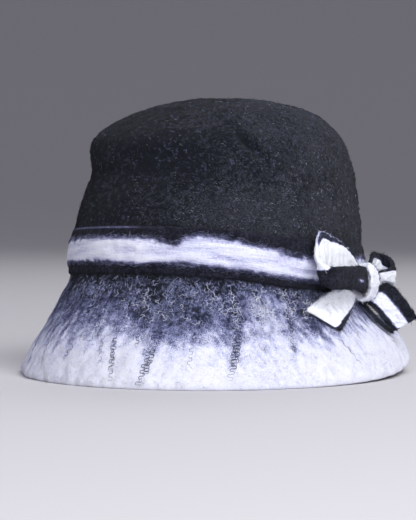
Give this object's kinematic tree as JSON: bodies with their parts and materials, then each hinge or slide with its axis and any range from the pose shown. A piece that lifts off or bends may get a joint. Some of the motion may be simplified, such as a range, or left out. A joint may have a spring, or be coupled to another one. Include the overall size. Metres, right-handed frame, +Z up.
{
  "type": "felt bucket hat",
  "caption": "Hand-felted wool bucket hat with a flared brim, charcoal crown fading to a white brim, and a two-tone felt ribbon tied in a bow on one side.",
  "frame": {"origin": "middle of the box of the whole hat, at the level of the rim's underside", "axes": "-Y towards the front of the hat, +X towards the wearer's left, where the bow is, +Z up"},
  "size_m": [0.2313, 0.2713, 0.168],
  "materials": {
    "body_felt": "fulled wool felt, charcoal on the crown, fading to white towards the rim",
    "ribbon_felt": "wool felt ribbon, white down the middle with charcoal margins"
  },
  "bodies": {
    "root": {"felt_body": "body_felt", "band": "ribbon_felt", "bow_knot": "ribbon_felt", "bow_loop_front": "ribbon_felt", "bow_loop_back": "ribbon_felt", "bow_tail_front": "ribbon_felt", "bow_tail_back": "ribbon_felt"}
  },
  "joints": []
}
